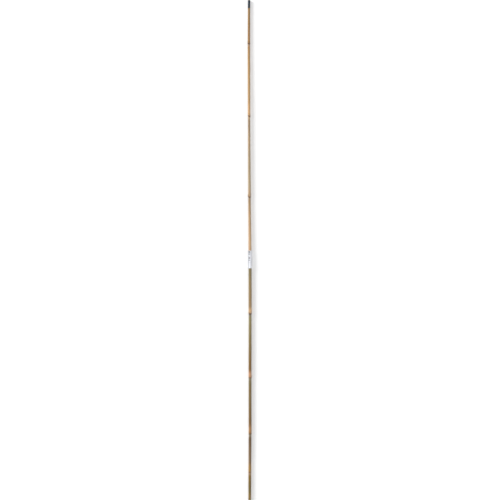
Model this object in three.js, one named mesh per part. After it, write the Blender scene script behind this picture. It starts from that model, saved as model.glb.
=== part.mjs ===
// A slender bamboo garden cane lying on a surface: one grown culm with its ring-like nodes, a dipped
// paint coat on the tip, and a paper label wrapped round the middle.
// Millimetres, +Z up. The cane lies along +Y, butt at -Y and painted tip at +Y, and its lowest
// points touch z = 0. The origin is under the middle of its bounding box.

import * as THREE from 'three';

// ---------------------------------------------------------------------------------------------
// Driving dimensions, in millimetres. "at" is always counted from the sawn butt end.

const LENGTH = 1800;
const SIDES = 24;

// What grows at each node: the culm's radius just on its butt side and just on its tip side, the
// height of the sheath-scar ridge and of the swelling above it, where the culm's centreline passes
// (drift sideways, height above the surface).
const NODES = [
  { at: 101, below: 4.7, above: 4.95, ridge: 0.3, swell: 0.1, drift: 0.5, height: 5.3 },
  { at: 239, below: 4.75, above: 5.15, ridge: 0.35, swell: 0.15, drift: 1.4, height: 5.5 },
  { at: 441, below: 4.85, above: 5.3, ridge: 0.35, swell: 0.15, drift: 1.4, height: 5.8 },
  { at: 671, below: 4.9, above: 5.5, ridge: 0.5, swell: 0.25, drift: 1.5, height: 6.05 },
  { at: 868, below: 5.25, above: 5.4, ridge: 0.25, swell: 0.05, drift: 1.3, height: 6.25 },
  { at: 1091, below: 4.25, above: 4.8, ridge: 0.55, swell: 0.3, drift: -0.85, height: 6.2 },
  { at: 1382, below: 3.9, above: 4.2, ridge: 0.6, swell: 0.2, drift: -2.0, height: 6.4 },
  { at: 1643, below: 4.0, above: 4.1, ridge: 0.65, swell: 0.3, drift: -3.0, height: 4.85 },
];
const BUTT = { at: 0, radius: 4.75, drift: 0.2, height: 5.2 };
const TIP = { at: LENGTH, radius: 3.6, drift: -2.1, height: 4.8 };

// An internode is widest just above its lower node and narrows in a soft curve towards the next.
const NARROWING = 1.5;
// The ridge sits on the node line, and the swelling a little on its tip side.
const RIDGE_WIDTH = 1.3;
const SWELL_AT = 6;
const SWELL_WIDTH = 5;
// Where the lathe profile has its points round a node, and how far apart they lie between nodes.
const NODE_STEPS = [-6, -2.6, -1.3, -0.6, 0, 0.6, 1.4, 3, 6, 10, 18];
const INTERNODE_STEP = 45;

const END_CHAMFER = 0.4;
const PITH = { radius: 1.5, depth: 14, floor: 0.6 };
const COAT = { length: 29, wall: 0.25, gap: 0.1, rounding: 0.8 };
const LABEL = {
  from: 834, to: 898, thickness: 0.35, gap: 0.15, halfWidth: 6.9, sides: 40, squareness: 2.3,
};

// ---------------------------------------------------------------------------------------------
// The culm's rule: its radius and its centreline at any distance from the butt.

const sections = [
  { ...BUTT, above: BUTT.radius },
  ...NODES,
  { ...TIP, below: TIP.radius },
];

// The stretch between two neighbouring nodes (or a node and an end) that holds a distance, and how
// far along that stretch it is, from 0 to 1.
function stretchAt(distance) {
  const last = sections.length - 2;
  const found = sections.findIndex((section, i) => i <= last && distance <= sections[i + 1].at);
  const index = found < 0 ? last : found;
  const lower = sections[index];
  const upper = sections[index + 1];
  const along = THREE.MathUtils.clamp((distance - lower.at) / (upper.at - lower.at), 0, 1);
  return { lower, upper, along };
}

function bump(distance, width) {
  return Math.exp(-((distance / width) ** 2));
}

// How far the nearest node's ridge and swelling stand out.
function nodeRise(distance) {
  return Math.max(...NODES.map((node) => {
    const past = distance - node.at;
    return node.ridge * bump(past, RIDGE_WIDTH) + node.swell * bump(past - SWELL_AT, SWELL_WIDTH);
  }));
}

function culmRadius(distance) {
  const { lower, upper, along } = stretchAt(distance);
  const plain = THREE.MathUtils.lerp(upper.below, lower.above, (1 - along) ** NARROWING);
  return plain + nodeRise(distance);
}

function centreline(distance) {
  const { lower, upper, along } = stretchAt(distance);
  return {
    drift: THREE.MathUtils.lerp(lower.drift, upper.drift, along),
    height: THREE.MathUtils.lerp(lower.height, upper.height, along),
  };
}

// Moves a shape that stands round the straight Y axis onto the culm's gently wandering centreline,
// and turns "distance from the butt" into the part's own Y.
function layOnCentreline(geometry) {
  const position = geometry.attributes.position;
  for (let i = 0; i < position.count; i += 1) {
    const distance = position.getY(i);
    const { drift, height } = centreline(distance);
    position.setX(i, position.getX(i) + drift);
    position.setY(i, distance - LENGTH / 2);
    position.setZ(i, position.getZ(i) + height);
  }
  return geometry;
}

// ---------------------------------------------------------------------------------------------
// The culm.

// Distances at which the profile gets a point: close together round each node, wide between.
function profileDistances(end) {
  const places = [];
  for (let i = 0; i < sections.length - 1; i += 1) {
    const lower = sections[i].at;
    const upper = sections[i + 1].at;
    const count = Math.ceil((upper - lower) / INTERNODE_STEP);
    for (let k = 1; k < count; k += 1) {
      places.push(lower + ((upper - lower) * k) / count);
    }
  }
  const nearNode = (place) => NODES.some((node) => {
    const past = place - node.at;
    return past > NODE_STEPS[0] && past < NODE_STEPS.at(-1);
  });
  const rings = NODES.flatMap((node) => NODE_STEPS.map((step) => node.at + step));
  return [...places.filter((place) => !nearNode(place)), ...rings]
    .filter((place) => place > END_CHAMFER * 2 && place < end)
    .sort((a, b) => a - b);
}

// The culm's end under the paint, kept thinner so that the coat's outside has the true radius.
function coatedEnd(coatStart) {
  const inset = COAT.wall + COAT.gap;
  const end = LENGTH - inset;
  return [
    new THREE.Vector2(culmRadius(coatStart), coatStart - COAT.gap),
    new THREE.Vector2(culmRadius(coatStart) - inset, coatStart - COAT.gap),
    new THREE.Vector2(TIP.radius - inset, end - COAT.rounding),
    new THREE.Vector2(TIP.radius - inset - COAT.rounding, end),
    new THREE.Vector2(0, end),
  ];
}

// The sawn butt: a blind pith hollow, a flat face and a lightly broken edge.
function sawnEnd() {
  return [
    new THREE.Vector2(0, PITH.depth),
    new THREE.Vector2(PITH.radius - PITH.floor, PITH.depth),
    new THREE.Vector2(PITH.radius, PITH.depth - PITH.floor),
    new THREE.Vector2(PITH.radius, 0),
    new THREE.Vector2(BUTT.radius - END_CHAMFER, 0),
    new THREE.Vector2(BUTT.radius, END_CHAMFER),
  ];
}

function culmGeometry() {
  const coatStart = LENGTH - COAT.length;
  const sides = profileDistances(coatStart - COAT.gap)
    .map((distance) => new THREE.Vector2(culmRadius(distance), distance));
  const profile = [...sawnEnd(), ...sides, ...coatedEnd(coatStart)];
  return layOnCentreline(new THREE.LatheGeometry(profile, SIDES));
}

// ---------------------------------------------------------------------------------------------
// The paint coat: a thin cup over the tip, its outside in line with the bare culm.

function coatGeometry() {
  const start = LENGTH - COAT.length;
  const startRadius = culmRadius(start);
  const innerEnd = LENGTH - COAT.wall;
  const profile = [
    new THREE.Vector2(0, innerEnd),
    new THREE.Vector2(TIP.radius - COAT.wall - COAT.rounding, innerEnd),
    new THREE.Vector2(TIP.radius - COAT.wall, innerEnd - COAT.rounding),
    new THREE.Vector2(startRadius - COAT.wall, start),
    new THREE.Vector2(startRadius, start),
    new THREE.Vector2(TIP.radius, LENGTH - COAT.rounding),
    new THREE.Vector2(TIP.radius - COAT.rounding, LENGTH),
    new THREE.Vector2(0, LENGTH),
  ];
  return layOnCentreline(new THREE.LatheGeometry(profile, SIDES));
}

// ---------------------------------------------------------------------------------------------
// The label: a paper band wrapped loosely round the culm, snug above and below and baggy sideways.

function ovalPath(path, halfWidth, halfHeight) {
  const power = 2 / LABEL.squareness;
  for (let i = 0; i < LABEL.sides; i += 1) {
    const angle = (i / LABEL.sides) * Math.PI * 2;
    const c = Math.cos(angle);
    const s = Math.sin(angle);
    const x = halfWidth * Math.sign(c) * Math.abs(c) ** power;
    const y = halfHeight * Math.sign(s) * Math.abs(s) ** power;
    if (i === 0) {
      path.moveTo(x, y);
    } else {
      path.lineTo(x, y);
    }
  }
  path.closePath();
  return path;
}

// The largest culm radius anywhere under the label.
function radiusUnderLabel() {
  const steps = NODE_STEPS.length * 10;
  const radii = Array.from({ length: steps + 1 }, (_, i) => (
    culmRadius(THREE.MathUtils.lerp(LABEL.from, LABEL.to, i / steps))
  ));
  return Math.max(...radii);
}

function labelGeometry() {
  const innerHeight = radiusUnderLabel() + LABEL.gap;
  const innerWidth = LABEL.halfWidth - LABEL.thickness;
  const section = ovalPath(new THREE.Shape(), LABEL.halfWidth, innerHeight + LABEL.thickness);
  section.holes.push(ovalPath(new THREE.Path(), innerWidth, innerHeight));
  const geometry = new THREE.ExtrudeGeometry(section, {
    depth: LABEL.to - LABEL.from,
    bevelEnabled: false,
  });
  geometry.rotateX(-Math.PI / 2);
  geometry.translate(0, LABEL.from, 0);
  return layOnCentreline(geometry);
}

// ---------------------------------------------------------------------------------------------
// The finished cane.

function piece(name, geometry, colour, roughness) {
  const material = new THREE.MeshStandardMaterial({ color: colour, roughness, metalness: 0 });
  const mesh = new THREE.Mesh(geometry, material);
  mesh.name = name;
  return mesh;
}

const bambooCane = new THREE.Group();
bambooCane.name = 'bamboo_cane';
bambooCane.add(piece('culm', culmGeometry(), 0x96784f, 0.5));
bambooCane.add(piece('tip_coat', coatGeometry(), 0x283a48, 0.35));
bambooCane.add(piece('label', labelGeometry(), 0xe6e7ec, 0.7));

// Centres the bounding box over the origin and sets its lowest point on the surface.
const box = new THREE.Box3().setFromObject(bambooCane);
const middle = box.getCenter(new THREE.Vector3());
bambooCane.position.set(-middle.x, -middle.y, -box.min.z);
bambooCane.updateMatrixWorld(true);

export default bambooCane;
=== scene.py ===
"""A slender bamboo garden cane lying on a white surface, looked at from straight above.

The cane lies along +Y, sawn butt at -Y and painted tip at +Y. Its centreline and thickness come from
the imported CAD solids. Every length here is in metres; MM turns millimetres into metres.
"""

import logging
import math
from collections.abc import Iterable
from dataclasses import dataclass, field
from enum import Enum
from functools import partial, reduce

import bpy
import numpy as np
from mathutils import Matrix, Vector


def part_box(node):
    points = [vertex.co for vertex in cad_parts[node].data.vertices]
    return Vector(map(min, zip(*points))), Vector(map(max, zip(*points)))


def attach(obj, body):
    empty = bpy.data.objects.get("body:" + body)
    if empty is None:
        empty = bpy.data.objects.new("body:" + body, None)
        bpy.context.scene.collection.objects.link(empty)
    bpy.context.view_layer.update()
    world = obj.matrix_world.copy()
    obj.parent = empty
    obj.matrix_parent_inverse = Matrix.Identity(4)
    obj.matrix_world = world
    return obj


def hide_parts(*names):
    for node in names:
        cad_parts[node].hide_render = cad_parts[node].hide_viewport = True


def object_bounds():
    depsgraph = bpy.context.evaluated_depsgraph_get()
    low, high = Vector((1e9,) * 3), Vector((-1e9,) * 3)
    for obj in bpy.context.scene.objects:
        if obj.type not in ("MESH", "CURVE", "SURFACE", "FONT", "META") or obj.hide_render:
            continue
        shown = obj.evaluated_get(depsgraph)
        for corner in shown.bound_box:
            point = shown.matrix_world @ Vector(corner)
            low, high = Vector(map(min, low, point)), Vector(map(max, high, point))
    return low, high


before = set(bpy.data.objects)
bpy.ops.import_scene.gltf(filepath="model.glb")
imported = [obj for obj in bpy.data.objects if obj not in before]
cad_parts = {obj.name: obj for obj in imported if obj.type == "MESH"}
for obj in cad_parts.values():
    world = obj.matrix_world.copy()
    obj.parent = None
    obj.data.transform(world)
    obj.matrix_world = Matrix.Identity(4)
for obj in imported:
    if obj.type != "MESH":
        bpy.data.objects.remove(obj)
CAD_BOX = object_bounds()

LOG = logging.getLogger("bamboo_cane")
MM = 0.001
TAU = math.tau
BODY = "root"

Socket = bpy.types.NodeSocket
Link = Socket | float | int | bool | str | tuple | Vector | None


# ---------------------------------------------------------------------------------------------
# Small helpers


class Slot(Enum):
    """The record's material slots."""

    BAMBOO = "bamboo"
    TIP_PAINT = "tip_paint"
    LABEL_PAPER = "label_paper"


class BudSide(Enum):
    """The side of the culm that a node's bud grew on, as an angle round the culm from +X."""

    RIGHT = 0.0
    UPPER_RIGHT = math.radians(50)
    UPPER_LEFT = math.radians(140)
    LEFT = math.pi
    LOWER_LEFT = math.radians(215)
    LOWER_RIGHT = math.radians(320)


def linear(tone: str) -> tuple[float, float, float]:
    """Turns an sRGB colour such as "8e8365" into linear red, green and blue.

    Args:
        tone: Six hexadecimal digits.

    Returns:
        The linear colour.
    """
    parts = [int(tone[i:i + 2], 16) / 255 for i in (0, 2, 4)]
    return tuple(c / 12.92 if c <= 0.04045 else ((c + 0.055) / 1.055) ** 2.4 for c in parts)


def rgba(tone: str) -> tuple[float, float, float, float]:
    """Returns the linear colour of an sRGB tone with full alpha."""
    return (*linear(tone), 1.0)


def smoothstep(low: float, high: float, value: np.ndarray) -> np.ndarray:
    """Eases from 0 at low to 1 at high.

    Args:
        low: Where the step starts.
        high: Where it ends.
        value: The numbers to ease.

    Returns:
        The eased numbers, from 0 to 1.
    """
    t = np.clip((value - low) / (high - low), 0.0, 1.0)
    return t * t * (3 - 2 * t)


class Wiring:
    """Adds nodes to a node tree, and links them, in one call each."""

    def __init__(self, tree: bpy.types.NodeTree) -> None:
        """Remembers the tree that the nodes go into."""
        self.tree = tree

    def feed(self, socket: Socket, value: Link) -> None:
        """Links a socket, or sets it where the value is plain.

        Args:
            socket: The input to feed.
            value: An output socket, or a plain value.
        """
        if isinstance(value, Socket):
            self.tree.links.new(value, socket)
        elif value is not None:
            socket.default_value = value

    def add(self, kind: str, feeds: dict[str | int, Link] | None = None, **settings) -> bpy.types.Node:
        """Adds a node.

        Args:
            kind: The node's type name.
            feeds: What feeds its inputs, by name or place.
            **settings: The node's own properties.

        Returns:
            The new node.
        """
        node = self.tree.nodes.new(kind)
        for name, value in settings.items():
            setattr(node, name, value)
        for key, value in (feeds or {}).items():
            self.feed(node.inputs[key], value)
        return node

    def math(self, operation: str, *values: Link) -> Socket:
        """Adds a Math node and returns its result."""
        feeds = dict(enumerate(values))
        return self.add("ShaderNodeMath", feeds, operation=operation).outputs[0]

    def times(self, *values: Link) -> Socket:
        """Multiplies two or more numbers."""
        return reduce(partial(self.math, "MULTIPLY"), values)

    def plus(self, *values: Link) -> Socket:
        """Adds two or more numbers."""
        return reduce(partial(self.math, "ADD"), values)

    def minus(self, a: Link, b: Link) -> Socket:
        """Subtracts b from a."""
        return self.math("SUBTRACT", a, b)

    def moved(self, place: Link, step: Link) -> Socket:
        """Adds two vectors."""
        return self.add("ShaderNodeVectorMath", {0: place, 1: step}, operation="ADD").outputs[0]

    def scaled(self, vector: Link, amount: Link) -> Socket:
        """Multiplies a vector, or a colour, by one number."""
        feeds = {0: vector, "Scale": amount}
        return self.add("ShaderNodeVectorMath", feeds, operation="SCALE").outputs[0]

    def stretched(self, place: Link, *amounts: float) -> Socket:
        """Scales a place along X, Y and Z, so that a pattern read there is stretched."""
        feeds = {0: place, 1: tuple(amounts)}
        return self.add("ShaderNodeVectorMath", feeds, operation="MULTIPLY").outputs[0]

    def named(self, name: str, kind: str = "FLOAT") -> Socket:
        """Reads a named attribute in a geometry tree."""
        return self.add("GeometryNodeInputNamedAttribute", {"Name": name}, data_type=kind).outputs[0]

    def bell(self, value: Link, middle: Link, width: Link) -> Socket:
        """Gives exp(-((value - middle) / width) ** 2), a soft bump of height 1.

        Args:
            value: The running number.
            middle: Where the bump is highest.
            width: How far from there it has fallen to about a third.

        Returns:
            The bump.
        """
        away = self.math("DIVIDE", self.minus(value, middle), width)
        return self.math("EXPONENT", self.times(away, away, -1.0))

    def ramp(self, value: Link, low: Link, high: Link, from_: float = 0.0, to: float = 1.0) -> Socket:
        """Eases from one number to another while value runs from low to high.

        Args:
            value: The running number.
            low: Where the step starts.
            high: Where the step ends.
            from_: The result at and before low.
            to: The result at and past high.

        Returns:
            The eased number.
        """
        feeds = {0: value, 1: low, 2: high, 3: from_, 4: to}
        kind = "SMOOTHSTEP"
        return self.add("ShaderNodeMapRange", feeds, interpolation_type=kind).outputs[0]


def new_object(name: str, mesh: bpy.types.Mesh) -> bpy.types.Object:
    """Puts a mesh in the scene as an object at the origin.

    Args:
        name: The object's name.
        mesh: The mesh.

    Returns:
        The object.
    """
    made = bpy.data.objects.new(name, mesh)
    bpy.context.scene.collection.objects.link(made)
    return made


def set_inputs(modifier: bpy.types.NodesModifier, wanted: dict[str, object]) -> None:
    """Sets a Geometry Nodes modifier's inputs by name.

    Args:
        modifier: The modifier, with its tree.
        wanted: The inputs' values, by name.
    """
    for item in modifier.node_group.interface.items_tree:
        if item.in_out == "INPUT" and item.name in wanted:
            modifier[item.identifier] = wanted[item.name]


def bake_modifiers(piece: bpy.types.Object) -> None:
    """Turns a piece's modifiers into plain mesh and removes them.

    Args:
        piece: The object, whose mesh is replaced by the evaluated one.
    """
    bpy.context.view_layer.update()
    evaluated = piece.evaluated_get(bpy.context.evaluated_depsgraph_get())
    made = bpy.data.meshes.new_from_object(evaluated)
    made.name = piece.name
    piece.modifiers.clear()
    piece.data = made


def dress(piece: bpy.types.Object, materials: Iterable[bpy.types.Material],
          replaced: str | None = None) -> bpy.types.Object:
    """Gives a finished piece its materials and its place in the frame.

    Args:
        piece: The finished piece.
        materials: Its materials, in slot order.
        replaced: The CAD node it stands for.

    Returns:
        The same piece.
    """
    piece.data.materials.clear()
    for material in materials:
        piece.data.materials.append(material)
    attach(piece, BODY)
    if replaced is not None:
        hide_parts(replaced)
    LOG.info("%s: %d faces", piece.name, len(piece.data.polygons))
    return piece


def read_attribute(mesh: bpy.types.Mesh, name: str, width: int = 1) -> np.ndarray:
    """Reads a named attribute of a mesh.

    Args:
        mesh: The mesh.
        name: The attribute's name.
        width: How many numbers each item has.

    Returns:
        The numbers, one row to an item where width is over 1.
    """
    data = mesh.attributes[name].data
    found = np.empty(len(data) * width, np.float32)
    data.foreach_get("value" if width == 1 else "vector", found)
    return found if width == 1 else found.reshape(-1, width)


# ---------------------------------------------------------------------------------------------
# What grew where


@dataclass(frozen=True)
class CulmNode:
    """One of the culm's nodes.

    Attributes:
        at: Its distance from the butt.
        bud: The side its bud grew on.
        ridge: How far its sheath-scar ridge stands out.
        swell: How far the swelling on its tip side stands out.
        tilt: How much further towards the tip the ring lies on its left than at its middle.
    """

    at: float
    bud: BudSide
    ridge: float
    swell: float
    tilt: float


@dataclass(frozen=True)
class Internode:
    """The colours of one internode, from just above its lower node to just below its upper one.

    Attributes:
        foot: The pale band where the sheath once clasped it.
        lower: The skin just past that band.
        upper: The skin towards the next node.
        head: The darker band just below the next node.
        foot_length: How far the pale band reaches.
        head_length: How far the dark band reaches.
        foot_full: The share of the pale band that has its full colour.
        head_full: The share of the dark band that has its full colour.
    """

    foot: str
    lower: str
    upper: str
    head: str
    foot_length: float = 38 * MM
    head_length: float = 14 * MM
    foot_full: float = 0.4
    head_full: float = 0.3

    def tones(self, past: np.ndarray, left: np.ndarray) -> np.ndarray:
        """Gives the colour along the internode.

        Args:
            past: The distances past the lower node.
            left: The distances left to the upper node.

        Returns:
            One linear colour for each distance.
        """
        named = (self.foot, self.lower, self.upper, self.head)
        foot, lower, upper, head = (np.array(linear(tone)) for tone in named)
        along = (past / (past + left))[:, None]
        shade = lower + (upper - lower) * along
        footed = 1 - smoothstep(self.foot_full * self.foot_length, self.foot_length, past)[:, None]
        headed = 1 - smoothstep(self.head_full * self.head_length, self.head_length, left)[:, None]
        shade = shade + (foot - shade) * footed
        return shade + (head - shade) * headed


NODES = (
    CulmNode(101 * MM, BudSide.UPPER_RIGHT, 0.30 * MM, 0.10 * MM, 0.3 * MM),
    CulmNode(239 * MM, BudSide.LOWER_LEFT, 0.35 * MM, 0.15 * MM, -0.4 * MM),
    CulmNode(441 * MM, BudSide.RIGHT, 0.35 * MM, 0.15 * MM, 0.5 * MM),
    CulmNode(671 * MM, BudSide.UPPER_LEFT, 0.50 * MM, 0.25 * MM, -0.5 * MM),
    CulmNode(868 * MM, BudSide.LOWER_RIGHT, 0.20 * MM, 0.05 * MM, 0.3 * MM),
    CulmNode(1091 * MM, BudSide.LEFT, 0.55 * MM, 0.30 * MM, 0.8 * MM),
    CulmNode(1382 * MM, BudSide.LOWER_RIGHT, 0.60 * MM, 0.20 * MM, 2.4 * MM),
    CulmNode(1643 * MM, BudSide.UPPER_LEFT, 0.65 * MM, 0.30 * MM, 0.4 * MM),
)

INTERNODES = (
    Internode("7c622c", "595333", "78580f", "845427"),
    Internode("9d7a40", "8a6f50", "5c452b", "593e22"),
    Internode("9c7349", "765329", "726642", "594420"),
    Internode("b58864", "704b15", "877e57", "463320", 30 * MM, 16 * MM),
    Internode("c4a077", "9d7f58", "716d4c", "8a7b5e", 28 * MM, 12 * MM),
    Internode("b38a66", "c2a17f", "9c815b", "825c33", 50 * MM, 20 * MM),
    Internode("ab8e6d", "ad9a79", "957b5c", "a97c3f"),
    Internode("be9668", "b39060", "a47e48", "996b3a", 60 * MM, 20 * MM),
    Internode("97713d", "906633", "8d6d30", "7b6c3b"),
)


@dataclass
class Spine:
    """The culm's centreline and plain thickness, read from its CAD solid.

    Attributes:
        butt: The Y of the sawn butt end.
        length: The whole cane's length.
        levels: Distances from the butt at which the CAD solid has a ring of points.
        centres: The X and Z of the culm's centre at each level.
        radii: The culm's radius at each level.
        kink: How far to each side of a node its kink in the centreline is rounded.
        samples: How many places that rounding averages.
        quiet_above: How far past a node the solid is free of the node's relief.
        quiet_below: How far before a node it still is.
        step: Half the length of the soft step in radius at a node.
        sawn_edge: How far from the butt the plain side starts.
        painted: How far before the last ring it ends, where the culm is thinner under the paint.
    """

    butt: float
    length: float
    levels: np.ndarray
    centres: np.ndarray
    radii: np.ndarray
    kink: float = 9 * MM
    quiet_above: float = 17 * MM
    quiet_below: float = 5 * MM
    step: float = 1.2 * MM
    samples: int = 7
    sawn_edge: float = 0.5 * MM
    painted: float = 30 * MM

    @classmethod
    def read(cls, node: str, whole: tuple[Vector, Vector]) -> "Spine":
        """Groups a CAD node's points into rings.

        Args:
            node: The CAD node's name.
            whole: The lowest and highest corner of the whole cane.

        Returns:
            The spine.
        """
        places = np.array([v.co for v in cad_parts[node].data.vertices], float)
        butt = whole[0].y
        decimals = 5  # points within a hundredth of a millimetre are of one ring
        levels, which = np.unique((places[:, 1] - butt).round(decimals), return_inverse=True)
        lows = np.full((len(levels), 3), np.inf)
        highs = -lows
        np.minimum.at(lows, which, places)
        np.maximum.at(highs, which, places)
        middle = (lows + highs) / 2
        radii = (highs[:, 0] - lows[:, 0]) / 2
        outer = radii > np.median(radii) / 2  # leaves out the rings inside the pith hollow
        return cls(butt, whole[1].y - butt, levels[outer], middle[outer][:, [0, 2]], radii[outer])

    def centre(self, distance: np.ndarray) -> np.ndarray:
        """Gives the centreline's points, its kinks at the nodes slightly rounded.

        Args:
            distance: Distances from the butt.

        Returns:
            One X, Y, Z row for each distance.
        """
        reach = np.linspace(-self.kink, self.kink, self.samples)
        near = np.clip(distance[:, None] + reach, self.levels[0], self.levels[-1])
        across, up = (np.interp(near, self.levels, c).mean(axis=1) for c in self.centres.T)
        return np.column_stack([across, self.butt + distance, up])

    def radius(self, distance: np.ndarray) -> np.ndarray:
        """Gives the plain radius, with a soft step instead of relief at each node.

        Args:
            distance: Distances from the butt.

        Returns:
            The radii.
        """
        ends = [0.0, *(n.at for n in NODES), self.length]
        found = np.zeros_like(distance)
        for lower, upper in zip(ends, ends[1:]):
            first = lower + (self.quiet_above if lower else self.sawn_edge)
            last = min(upper - self.quiet_below, self.levels[-1] - self.painted)
            quiet = (self.levels >= first) & (self.levels <= last)
            here = np.interp(distance, self.levels[quiet], self.radii[quiet])
            inside = smoothstep(lower - self.step, lower + self.step, distance) if lower else 1.0
            found = found * (1 - inside) + here * inside
        return found


# ---------------------------------------------------------------------------------------------
# Ring skin: a Geometry Nodes tree that spans a closed skin over a row of rings


@dataclass
class Rings:
    """A row of rings, each a circle round a centre in a plane across Y.

    Attributes:
        centre: Each ring's centre.
        radius: Each ring's radius.
        more: Further numbers of each ring, by attribute name.
        colour: Each ring's colour, as linear red, green and blue.
    """

    centre: np.ndarray
    radius: np.ndarray
    more: dict[str, np.ndarray] = field(default_factory=dict)
    colour: np.ndarray | None = None

    def as_mesh(self, name: str) -> bpy.types.Mesh:
        """Makes a mesh of loose points that carry the rings' numbers as attributes.

        Args:
            name: The mesh's name.

        Returns:
            The mesh.
        """
        mesh = bpy.data.meshes.new(name)
        mesh.vertices.add(len(self.radius))
        mesh.vertices.foreach_set("co", self.centre.astype(np.float32).ravel())
        for key, values in {"radius": self.radius, **self.more}.items():
            held = mesh.attributes.new(key, "FLOAT", "POINT")
            held.data.foreach_set("value", values.astype(np.float32))
        if self.colour is not None:
            held = mesh.attributes.new("tone", "FLOAT_COLOR", "POINT")
            full = np.column_stack([self.colour, np.ones(len(self.radius))])
            held.data.foreach_set("color", full.astype(np.float32).ravel())
        mesh.update()
        return mesh


class RingSkin:
    """Spans a skin over rings, and raises the relief of a bamboo node on it.

    Each ring's point attributes drive it: radius, past (the signed distance from the nearest node),
    relief (how much relief the ring takes), bud (the bud's angle), ridge, swell, tilt, sway (how far
    the ring wavers along Y), worn (1 where it is sawn or worn), run (the distance along the outline)
    and tone (the ring's colour).
    """

    NUMBERS = ("radius", "past", "relief", "bud", "ridge", "swell", "tilt", "sway", "worn", "run")
    INPUTS = {
        "Ridge Width": 0.85 * MM,
        "Valley Depth": 0.14 * MM,
        "Valley At": 2.5 * MM,
        "Valley Width": 1.4 * MM,
        "Swell At": 7.0 * MM,
        "Swell Width": 4.5 * MM,
        "Groove Depth": 0.42 * MM,
        "Groove Length": 95.0 * MM,
        "Groove Tightness": 5.0,
        "Bud Height": 1.5,
        "Bud At": 4.2 * MM,
        "Bud Length": 2.6 * MM,
        "Bud Tightness": 9.0,
        "Soot At": -0.8 * MM,
        "Soot Width": 2.8 * MM,
        "Unevenness": 0.07 * MM,
        "Fluting": 0.025 * MM,
        "Seed": 3.0,
    }
    WAVER = 0.22 * MM  # how far a node's line wavers along Y
    BLOOM = (-6.5 * MM, 4.5 * MM)  # where the waxy bloom is fullest, and how wide it is
    BLACKENED = (0.35 * MM, 0.6 * MM)  # the ridges between which soot grows to its full strength
    LUMPS = (42.0, 0.5)  # the unevenness: features to the metre, and features along for each one round
    FLUTES = (900.0, 0.035)  # the fluting, likewise
    MERGED = 0.002 * MM  # how close points have to be to become one

    def __init__(self, sides: int) -> None:
        """Builds the tree.

        Args:
            sides: How many sides each ring has.
        """
        self.sides = sides
        self.tree = bpy.data.node_groups.new("ring_skin", "GeometryNodeTree")
        self.wiring = Wiring(self.tree)
        self._make_interface()
        self._grow()

    def _make_interface(self) -> None:
        face = self.tree.interface
        face.new_socket("Geometry", in_out="OUTPUT", socket_type="NodeSocketGeometry")
        face.new_socket("Rings", in_out="INPUT", socket_type="NodeSocketGeometry")
        face.new_socket("Sides", in_out="INPUT", socket_type="NodeSocketInt").default_value = 48
        face.new_socket("Material", in_out="INPUT", socket_type="NodeSocketMaterial")
        for name, value in self.INPUTS.items():
            face.new_socket(name, in_out="INPUT", socket_type="NodeSocketFloat").default_value = value

    def _ring_value(self, name: str, kind: str = "FLOAT") -> Socket:
        """Reads a number of the ring that a grid point belongs to.

        Args:
            name: The ring attribute's name.
            kind: Its data type.

        Returns:
            The number, as a field over the grid.
        """
        w = self.wiring
        feeds = {"Geometry": self.given["Rings"], "Value": w.named(name, kind), "Index": self.ring}
        return w.add("GeometryNodeSampleIndex", feeds, data_type=kind).outputs["Value"]

    def _store(self, geometry: Socket, name: str, value: Link, kind: str = "FLOAT",
               domain: str = "POINT") -> Socket:
        """Stores a named attribute on the grid.

        Args:
            geometry: The grid.
            name: The attribute's name.
            value: What is stored.
            kind: Its data type.
            domain: What part of the mesh it belongs to.

        Returns:
            The grid with the attribute.
        """
        feeds = {"Geometry": geometry, "Name": name, "Value": value}
        return self.wiring.add("GeometryNodeStoreNamedAttribute", feeds, data_type=kind,
                               domain=domain).outputs["Geometry"]

    def _grow(self) -> None:
        """Wires the whole tree."""
        w = self.wiring
        self.given = w.add("NodeGroupInput").outputs
        size = w.add("GeometryNodeAttributeDomainSize", {"Geometry": self.given["Rings"]})
        columns = w.math("ADD", self.given["Sides"], 1)
        grid = w.add("GeometryNodeMeshGrid", {"Size X": 1.0, "Size Y": 1.0,
                     "Vertices X": size.outputs["Point Count"], "Vertices Y": columns})
        index = w.add("GeometryNodeInputIndex").outputs[0]
        self.ring = w.math("FLOOR", w.math("DIVIDE", w.plus(index, 0.5), columns))
        column = w.minus(index, w.times(self.ring, columns))
        around = w.math("DIVIDE", column, self.given["Sides"])
        angle = w.times(around, TAU)
        self.numbers = {name: self._ring_value(name) for name in self.NUMBERS}
        cosine, sine = w.math("COSINE", angle), w.math("SINE", angle)
        outward = w.add("ShaderNodeCombineXYZ", {0: cosine, 2: sine}).outputs[0]
        masks = self._relief(angle, cosine)
        geometry = grid.outputs["Mesh"]
        for name, value in masks.items():
            geometry = self._store(geometry, name, value)
        further = {"worn": self.numbers["worn"], "around": around, "run": self.numbers["run"]}
        for name, value in further.items():
            geometry = self._store(geometry, name, value)
        geometry = self._store(geometry, "tone", self._ring_value("tone", "FLOAT_COLOR"), "FLOAT_COLOR")
        geometry = self._store(geometry, "grain", self._grain(cosine, sine), "FLOAT_VECTOR")
        geometry = w.add("GeometryNodeSetPosition", {
            "Geometry": geometry, "Position": self._place(outward, angle)}).outputs["Geometry"]
        geometry = self._uv(geometry)
        steps = {
            "GeometryNodeMergeByDistance": {"Distance": self.MERGED},
            "GeometryNodeSetShadeSmooth": {},
            "GeometryNodeRealizeInstances": {},
            "GeometryNodeSetMaterial": {"Material": self.given["Material"]},
        }
        for kind, feeds in steps.items():
            geometry = w.add(kind, {"Geometry": geometry, **feeds}).outputs["Geometry"]
        w.add("NodeGroupOutput", {"Geometry": geometry})

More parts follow.
